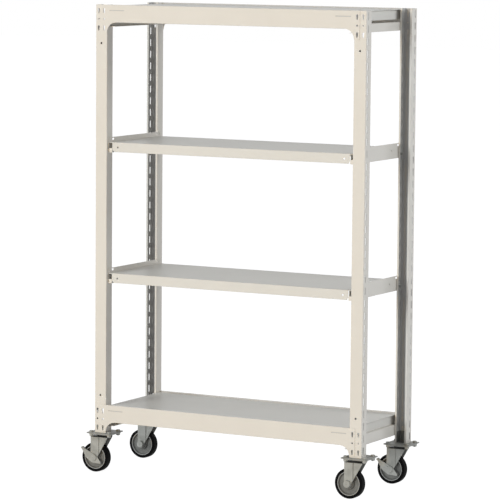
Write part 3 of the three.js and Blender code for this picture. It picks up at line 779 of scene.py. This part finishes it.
# Bracket bolts: M6 hexagon bolts through a bracket and the post behind it, with the nut inside the post.
# Turned and rolled steel with bright zinc plate.
bolt_thread = 0.006
bolt_flats = 0.01
bolt_head = 0.004
bolt_nut = 0.005
bolt_end = 0.002
bolt_bevel = 0.0006
bolt_thread_pitch = 0.001
bevel_spread = 1.7
round_steps = 48
about_x = 0
about_y = 1
about_z = 2


def zinc_plate(name, dark, light, rough, grain):
    """Zinc plate: grey metal with fine spangle, soft stains and uneven sheen, near black on marked faces for
    grease and painted shade.
    """
    finish = Finish(name, 0.3)
    finish.surface["Metallic"].default_value = 0.15
    stain = finish.noise(scale=26, detail=5)
    spangle = finish.add("ShaderNodeTexVoronoi", Vector=finish.place, Scale=grain)
    mixed = finish.math("MULTIPLY_ADD", spangle, 0.35, stain)
    finish.colour(mixed, 0.4, dark, 0.78, light)
    # Grease and painted shade: marked faces are painted near black, for grease on the race and for the shade
    # under the castor plate.
    finish.cover(finish.read_mark("grease_and_painted_shade"), (0.012, 0.012, 0.01))
    finish.roughness(stain, rough - 0.07, rough + 0.07)
    finish.relief(mixed, strength=0.12, depth=0.0003)
    return finish


bright_zinc = zinc_plate("bright_zinc_plate", (0.27, 0.27, 0.245), (0.43, 0.43, 0.4), 0.36, 900).material


def lathe(section, axis, centre=(0, 0, 0), steps=round_steps):
    """A solid turned from a half section of radii and places along an axis through a centre."""
    across, up = (way for way in range(3) if way != axis)
    shape = bmesh.new()
    rings = []
    for radius, along in section:
        ring = []
        for turn in range(steps if radius > 0 else 1):
            point = list(centre)
            point[axis] += along
            point[across] += radius * math.cos(math.tau * turn / steps)
            point[up] += radius * math.sin(math.tau * turn / steps)
            ring.append(shape.verts.new(point))
        rings.append(ring)
    for first, second in zip(rings, rings[1:] + rings[:1]):
        for turn in range(steps):
            after = (turn + 1) % steps
            patch = [first[turn % len(first)], first[after % len(first)],
                     second[after % len(second)], second[turn % len(second)]]
            patch = list(dict.fromkeys(patch))
            if len(patch) > 2:
                shape.faces.new(patch)
    bmesh.ops.recalc_face_normals(shape, faces=shape.faces)
    return shape


def thread(radius, pitch, start, end):
    """The half section of a thread, as plain rings from start to end."""
    crests = max(1, int(abs(end - start) / pitch))
    step = (end - start) / crests
    section = []
    for crest in range(crests):
        section.append((radius - pitch / 2, start + step * crest))
        section.append((radius, start + step * (crest + 0.5)))
    return section + [(radius - pitch / 2, end)]


def hexagon(flats, bevel, start, end):
    """The half section of a hexagon head or nut, with a turned bevel at its end."""
    corner_radius = flats / 2 / math.cos(math.pi / 6)
    return [
        (0, start),
        (corner_radius, start),
        (corner_radius, end - math.copysign(bevel, end - start)),
        (corner_radius - bevel * bevel_spread, end),
        (0, end),
    ]


def middle(node):
    low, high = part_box(node)
    return (low + high) / 2


for shelf in ("upper", "lower"):
    for corner in corners:
        bolt_node = f"{shelf}_bolt_{corner}"
        low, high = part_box(bolt_node)
        side = 1 if "right" in corner else -1
        head_x = low.x if side > 0 else high.x
        end_x = high.x if side > 0 else low.x
        head_face = (head_x, *middle(bolt_node).yz)
        length = end_x - head_x
        nut_end = length - side * bolt_end
        shank_start = side * bolt_head / 2
        head = hexagon(bolt_flats, bolt_bevel, side * bolt_head, 0)
        nut = hexagon(bolt_flats, bolt_bevel, nut_end - side * bolt_nut, nut_end)
        shank = [
            (0, shank_start),
            *thread(bolt_thread / 2, bolt_thread_pitch, shank_start, length),
            (0, length),
        ]
        bolt = piece_from(
            f"plated_{bolt_node}",
            lathe(head, about_x, head_face, 6),
            lathe(shank, about_x, head_face),
            lathe(nut, about_x, head_face, 6),
        )
        dress(bolt, bolt_node, bright_zinc)

# Foot plates: plates of 4.2 mm steel with a folded stub that is welded on and stands in the post.
# Galvanised. Each is bolted to its castor with four M10 hexagon bolts, nuts below.
plate_corner = 0.004
plate_edge = 0.0006
stub_height = 0.045
stub_side = 0.034
stub_wall = 0.0025
bolt_spacing_x = 0.086
bolt_spacing_y = 0.075
castor_bolt_thread = 0.01
castor_bolt_flats = 0.017
castor_bolt_head = 0.0065
castor_bolt_nut = 0.008
castor_bolt_end = 0.002
castor_bolt_bevel = 0.0009
castor_thread_pitch = 0.0015
castor_plate_wall = 0.0038

dull_zinc = zinc_plate("galvanised_plate", (0.2, 0.2, 0.185), (0.33, 0.33, 0.31), 0.45, 240).material


def plate(low, high, corner_radius, low_z, high_z):
    """A flat plate with round corners and the edges of its faces broken."""
    outline = soften([
        (x, y, corner_radius)
        for x, y in ((low.x, low.y), (high.x, low.y), (high.x, high.y), (low.x, high.y))
    ])
    centre = sum(outline, Vector((0, 0))) / len(outline)
    inset = [point - (point - centre).normalized() * plate_edge for point in outline]
    return loft([
        [(*point, z) for point in ring]
        for ring, z in (
            (inset, low_z),
            (outline, low_z + plate_edge),
            (outline, high_z - plate_edge),
            (inset, high_z),
        )
    ])


for corner in corners:
    plate_node = f"foot_plate_{corner}"
    low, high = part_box(plate_node)
    castor_mid = middle(f"castor_plate_{corner}")
    castor_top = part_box(f"castor_plate_{corner}")[1].z
    post_low, post_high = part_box(f"post_{corner}")
    facing = 1 if "front" in corner else -1
    mid_x = middle(plate_node).x
    plate_high = post_low.z - fit_gap
    foot_plate = piece_from(
        f"galvanised_{plate_node}", plate(low, high, plate_corner, castor_top + fit_gap, plate_high))
    stub_half = (post_high.x - post_low.x) / 2 - sheet_wall - fit_gap
    stub_front = (post_low.y if facing > 0 else post_high.y) + facing * (sheet_wall + fit_gap)
    stub_line = [(-stub_half, stub_side), (-stub_half, 0), (stub_half, 0), (stub_half, stub_side)]
    combine(foot_plate, "UNION", folded(
        stub_line,
        lambda u, v, w: (mid_x + u, stub_front + facing * v, w),
        plate_high - plate_edge,
        plate_high + stub_height,
        stub_wall,
    ))
    dress(foot_plate, plate_node, dull_zinc)

    nut_top = castor_top - castor_plate_wall - fit_gap
    nut_low = nut_top - castor_bolt_nut
    bolt_low = nut_low - castor_bolt_end
    head = hexagon(castor_bolt_flats, castor_bolt_bevel, plate_high, plate_high + castor_bolt_head)
    nut = hexagon(castor_bolt_flats, castor_bolt_bevel, nut_top, nut_low)
    shank = [
        (0, bolt_low),
        *thread(castor_bolt_thread / 2, castor_thread_pitch, bolt_low, nut_top),
        (castor_bolt_thread / 2, nut_top),
        (castor_bolt_thread / 2, plate_high),
        (0, plate_high),
    ]
    bolts = piece_from(
        f"plated_castor_bolts_{corner}",
        lathe(head, about_z, steps=6),
        lathe(shank, about_z),
        lathe(nut, about_z, steps=6),
    )
    tree = PieceTree(
        f"repeated_castor_bolts_{corner}",
        spacing_x=bolt_spacing_x, spacing_y=bolt_spacing_y, zinc=bright_zinc,
    )
    row = tree.repeat(tree.size("Geometry"), (0, 0, 0), 2, (tree.size("spacing_x"), 0, 0))
    start = (castor_mid.x - bolt_spacing_x / 2, castor_mid.y - bolt_spacing_y / 2, 0)
    tree.bake(bolts, tree.repeat(row, start, 2, (0, tree.size("spacing_y"), 0)), "zinc")
    dress(bolts, plate_node, bright_zinc, stands_for_node=False)

# Castor top plates: pressed plates of 3.8 mm steel with the upper ball race below and the kingpin riveted
# over under the crown of the fork. Bright zinc plate, with the race painted near black for grease and as
# painted shade in the gap under the plate.
castor_plate_corner = 0.008
race_radius = 0.036
race_foot_radius = 0.032
race_height = 0.009
race_round = 0.002
kingpin_radius = 0.007
kingpin_head_radius = 0.012
kingpin_head_height = 0.004
kingpin_head_side = 0.0018
kingpin_face_radius = 0.008
kingpin_bevel = 0.0008


for corner in corners:
    plate_node = f"castor_plate_{corner}"
    low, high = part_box(plate_node)
    plate_low = high.z - castor_plate_wall
    race_low = plate_low - race_height
    top_plate = piece_from(
        f"plated_{plate_node}", plate(low, high, castor_plate_corner, plate_low, high.z))
    combine(top_plate, "UNION", lathe([
        (0, plate_low + plate_edge),
        (race_radius, plate_low + plate_edge),
        (race_radius, plate_low - race_round / 2),
        (race_radius - race_round / 3, plate_low - race_round * 1.2),
        (race_foot_radius + race_round / 3, race_low + race_round),
        (race_foot_radius - race_round / 3, race_low + race_round / 4),
        (race_foot_radius - race_round, race_low),
        (kingpin_radius, race_low),
        (kingpin_radius, low.z + kingpin_head_height),
        (kingpin_head_radius, low.z + kingpin_head_height),
        (kingpin_head_radius - kingpin_bevel, low.z + kingpin_head_side),
        (kingpin_face_radius, low.z),
        (0, low.z),
    ], about_z, (*middle(plate_node).xy, 0)))
    # Grease and painted shade: the race and the kingpin head under the plate are painted near black.
    mark(top_plate, "grease_and_painted_shade", "FACE", lambda place: place.z < plate_low - plate_edge / 4)
    dress(top_plate, plate_node, bright_zinc)

# Forks: one pressing of 3 mm steel, a crown with two legs folded down, the front of each leg set in along
# a pressed crease, and the lower ball race on the crown. Bright zinc plate, painted near black on the
# crown's bend and the lower race as painted shade under the top plate.
leg_wall = 0.003
leg_bend = 0.006
leg_set_in = 0.0026
crease_from_back = 0.0405
crease_half = 0.0025
crease_depth = 0.0013
leg_end_radius = 0.017
leg_end_round = leg_end_radius * 0.999
leg_back_straight = 0.03
leg_back_round = 0.06
leg_front_rise = 0.004
leg_front_round = 0.02
leg_fold_height = 0.006
leg_fold_round = 0.006
leg_steps = 12
crown_half = 0.0235
crown_front = 0.024
crown_back = 0.056
crown_race_radius = 0.033
crown_race_foot = 0.0002
crown_race_bevel = 0.0008
crown_drop = 0.0012
blank_spare = 0.002
cut_spare = 0.01
axle_bore_radius = 0.0068
axle_bore_reach = 0.05
kingpin_bore_radius = 0.0076


def rod(radius, low, high):
    """The half section of a plain rod, which a bore is cut with."""
    return [(0, low), (radius, low), (radius, high), (0, high)]


for corner in corners:
    fork_node = f"fork_{corner}"
    low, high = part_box(fork_node)
    mid = middle(f"castor_plate_{corner}")
    axle = middle(f"tyre_{corner}")
    kingpin = (mid.x, mid.y, 0)
    race_top = high.z
    crown_z = race_top - crown_drop
    front_x = mid.x + crown_front
    back_x = mid.x - crown_back
    crease_x = back_x + crease_from_back
    leg_low = low.z - cut_spare
    leg_left = axle.x - leg_end_radius
    leg_right = axle.x + leg_end_radius
    leg_foot = axle.z - leg_end_radius
    sections = []
    for x, half in (
        (back_x - blank_spare, crown_half),
        (crease_x - crease_half, crown_half),
        (crease_x, crown_half - leg_set_in - crease_depth),
        (crease_x + crease_half, crown_half - leg_set_in),
        (front_x, crown_half - leg_set_in),
    ):
        line = [(half, leg_low), (half, crown_z), (-half, crown_z), (-half, leg_low)]
        sections.append([(x, mid.y + u, v) for u, v in fold_outline(line, leg_wall, leg_bend)])
    fork = piece_from(f"plated_{fork_node}", loft(sections))
    side_view = soften([
        (back_x, crown_z + cut_spare, 0),
        (back_x, axle.z + leg_back_straight, leg_back_round),
        (leg_left, axle.z, 0),
        (leg_left, leg_foot, leg_end_round),
        (leg_right, leg_foot, leg_end_round),
        (leg_right, axle.z + leg_front_rise, leg_front_round),
        (front_x, crown_z - leg_fold_height, leg_fold_round),
        (front_x, crown_z + cut_spare, 0),
    ], leg_steps)
    combine(fork, "INTERSECT", prism(
        side_view, lambda u, v, w: (u, w, v), low.y - cut_spare, high.y + cut_spare))
    combine(fork, "UNION", lathe([
        (0, crown_z - leg_wall / 2),
        (crown_race_radius, crown_z - leg_wall / 2),
        (crown_race_radius, crown_z + crown_race_foot),
        (crown_race_radius - crown_race_bevel, race_top),
        (0, race_top),
    ], about_z, kingpin))
    kingpin_bore = rod(kingpin_bore_radius, crown_z - cut_spare * 2, race_top + cut_spare)
    axle_bore = rod(axle_bore_radius, -axle_bore_reach, axle_bore_reach)
    combine(
        fork,
        "DIFFERENCE",
        lathe(kingpin_bore, about_z, kingpin),
        lathe(axle_bore, about_y, (axle.x, mid.y, axle.z)),
    )
    # Painted shade: the crown's top bend and the lower race are painted near black for the shadow cast by
    # the castor plate above.
    mark(fork, "grease_and_painted_shade", "FACE", lambda place: place.z > crown_z - leg_bend * 0.85)
    dress(fork, fork_node, bright_zinc)

# Axle bolts: a turned cap with a centre mark in front, lower where a brake lever lies behind it, and a
# hexagon nut behind. Bright zinc plate.
axle_radius = 0.006
cap_radius = 0.0155
cap_face_radius = 0.0144
cap_height = 0.0112
low_cap_height = 0.004
cap_round = 0.0018
cap_round_depth = 0.0013
cap_rim = 0.0004
centre_mark_radius = 0.0026
centre_mark_floor = 0.0018
centre_mark_depth = 0.0008
axle_nut_flats = 0.019
axle_nut_height = 0.008
axle_nut_bevel = 0.001
axle_end = 0.002
axle_thread_pitch = 0.00175
braked_corners = ("front_left", "rear_right")

for corner in corners:
    axle_node = f"axle_{corner}"
    low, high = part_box(axle_node)
    axle = middle(axle_node)
    front = (axle.x, low.y, axle.z)
    length = high.y - low.y
    height = low_cap_height if corner in braked_corners else cap_height
    cap = [
        (0, centre_mark_depth),
        (centre_mark_floor, centre_mark_depth),
        (centre_mark_radius, 0),
        (cap_face_radius - cap_round, 0),
        (cap_face_radius - cap_round / 3, cap_rim),
        (cap_face_radius, cap_round_depth),
        (cap_radius, height - cap_rim),
        (cap_radius, height),
        (0, height),
    ]
    nut_start = length - axle_end - axle_nut_height
    nut = hexagon(axle_nut_flats, axle_nut_bevel, nut_start, nut_start + axle_nut_height)
    shank = [
        (0, height / 2),
        (axle_radius, height / 2),
        (axle_radius, nut_start),
        *thread(axle_radius, axle_thread_pitch, nut_start, length),
        (0, length),
    ]
    axle_bolt = piece_from(
        f"plated_{axle_node}",
        lathe(cap, about_y, front),
        lathe(shank, about_y, front),
        lathe(nut, about_y, front, 6),
    )
    dress(axle_bolt, axle_node, bright_zinc)

# Wheel centres: two pressed discs with a rolled rim, a ring round the hub and a turned hub sleeve.
# Bright zinc plate with fine turning marks, painted dark all over as painted shade for the recessed disc,
# with a lighter painted highlight on the rolled rim.
wheel_steps = 96
rim_start = 0.0462
rim_fade = 0.001
turning_marks = 5200
wheel_section = [
    (0.0068, 0.02), (0.0125, 0.02), (0.0138, 0.0192), (0.0142, 0.0178), (0.0146, 0.0165), (0.0155, 0.016),
    (0.0212, 0.016), (0.0228, 0.0154), (0.0238, 0.0138), (0.0243, 0.011), (0.0255, 0.0078), (0.0275, 0.0066),
    (0.0385, 0.0056), (0.0418, 0.0062), (0.0438, 0.008), (0.0452, 0.0115), (0.0464, 0.0139),
    (0.0477, 0.015), (0.0489, 0.015), (0.0496, 0.0144), (0.05, 0.0144),
]

# Painted shade: the wheel's zinc is darker than the rest for the shade in the recessed disc.
wheel_zinc_painted_light = zinc_plate("turned_zinc_plate", (0.115, 0.115, 0.107), (0.2, 0.2, 0.188), 0.4, 900)
radius = wheel_zinc_painted_light.read_mark("turned_radius")
# Painted highlight: the rolled rim beyond rim_start is painted lighter.
rim = wheel_zinc_painted_light.add(
    "ShaderNodeMapRange", Value=radius, From_Min=rim_start, From_Max=rim_start + rim_fade)
wheel_zinc_painted_light.cover(rim, (0.4, 0.4, 0.385))
rings = wheel_zinc_painted_light.math("SINE", wheel_zinc_painted_light.math("MULTIPLY", radius, turning_marks))
wheel_zinc_painted_light.relief(rings, strength=0.15, depth=0.0002)


def both_sides(section):
    """A half section with its mirror image, for a wheel that is the same on both sides."""
    return section + [(radius, -along) for radius, along in reversed(section)]


for corner in corners:
    wheel_node = f"wheel_{corner}"
    axle = middle(wheel_node)
    wheel = piece_from(
        f"turned_{wheel_node}", lathe(both_sides(wheel_section), about_y, axle, wheel_steps))
    mark(wheel, "turned_radius", "POINT", lambda place: math.hypot(place.x - axle.x, place.z - axle.z))
    dress(wheel, wheel_node, wheel_zinc_painted_light.material)

# Tyres: solid black rubber, bonded to the wheel centre, with narrow shoulders and a flat tread.
# The rubber has a faint grey bloom and a fine moulded grain.
tyre_section = [
    (0.0503, 0.0146), (0.0516, 0.0156), (0.054, 0.016), (0.0592, 0.016), (0.0606, 0.0156), (0.0617, 0.0147),
    (0.0623, 0.0134), (0.0625, 0.0118),
]

rubber = Finish("black_rubber", 0.08)
bloom = rubber.noise(scale=60, detail=6)
rubber.colour(bloom, 0.35, (0.0015, 0.0015, 0.0017), 0.8, (0.005, 0.005, 0.0055))
rubber.roughness(bloom, 0.65, 0.8)
rubber.relief(rubber.noise(scale=1500), strength=0.15, depth=0.0002)

for corner in corners:
    tyre_node = f"tyre_{corner}"
    tyre = piece_from(
        f"moulded_{tyre_node}",
        lathe(both_sides(tyre_section), about_y, middle(tyre_node), wheel_steps),
    )
    dress(tyre, tyre_node, rubber.material)

# Brake levers of two castors: a rocker plate of 2.6 mm steel on the axle, with a broad heel, a pedal at the
# end of its arm and a pointed toe on the other side. Bright zinc plate.
lever_wall = 0.0026
lever_tilt = math.radians(33)
lever_reach = 0.0645
lever_tip_half = 0.0042
lever_tip_round = 0.003
lever_round = 0.002
lever_hub_half = 0.0135
lever_hub_front = 0.01
lever_hub_back = 0.006
lever_heel = 0.0225
lever_heel_reach = 0.029
lever_heel_round = 0.012
lever_hub_round = 0.01
lever_back_round = 0.02
lever_toe = 0.041
lever_toe_half = 0.0028
pedal_depth = 0.008
pedal_half = 0.0038
pedal_width = 0.015
pedal_lap = 0.001

lever_outline = soften([
    (-lever_reach, lever_tip_half, lever_round),
    (-lever_reach, -lever_tip_half, lever_tip_round),
    (-lever_heel_reach, -lever_heel, lever_heel_round),
    (lever_hub_back, -lever_heel, lever_heel_round),
    (lever_toe, -lever_toe_half, lever_round),
    (lever_toe, lever_toe_half, lever_round),
    (lever_hub_front, lever_hub_half, lever_hub_round),
    (-lever_hub_back, lever_hub_half, lever_back_round),
])
pedal_outline = soften([
    (-lever_reach - pedal_depth, -pedal_half, lever_round),
    (-lever_reach + pedal_lap, -pedal_half, 0),
    (-lever_reach + pedal_lap, pedal_half, 0),
    (-lever_reach - pedal_depth, pedal_half, lever_round),
])

for corner in braked_corners:
    lever_node = f"brake_lever_{corner}"
    low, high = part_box(lever_node)
    axle = middle(f"wheel_{corner}")

    def tilted(u, v, w):
        point = Matrix.Rotation(-lever_tilt, 2) @ Vector((u, v))
        return (axle.x + point.x, w, axle.z + point.y)

    lever = piece_from(f"plated_{lever_node}", prism(lever_outline, tilted, low.y, low.y + lever_wall))
    combine(lever, "UNION", prism(pedal_outline, tilted, low.y, low.y + pedal_width))
    combine(lever, "DIFFERENCE", lathe(axle_bore, about_y, (axle.x, low.y, axle.z)))
    dress(lever, lever_node, bright_zinc)
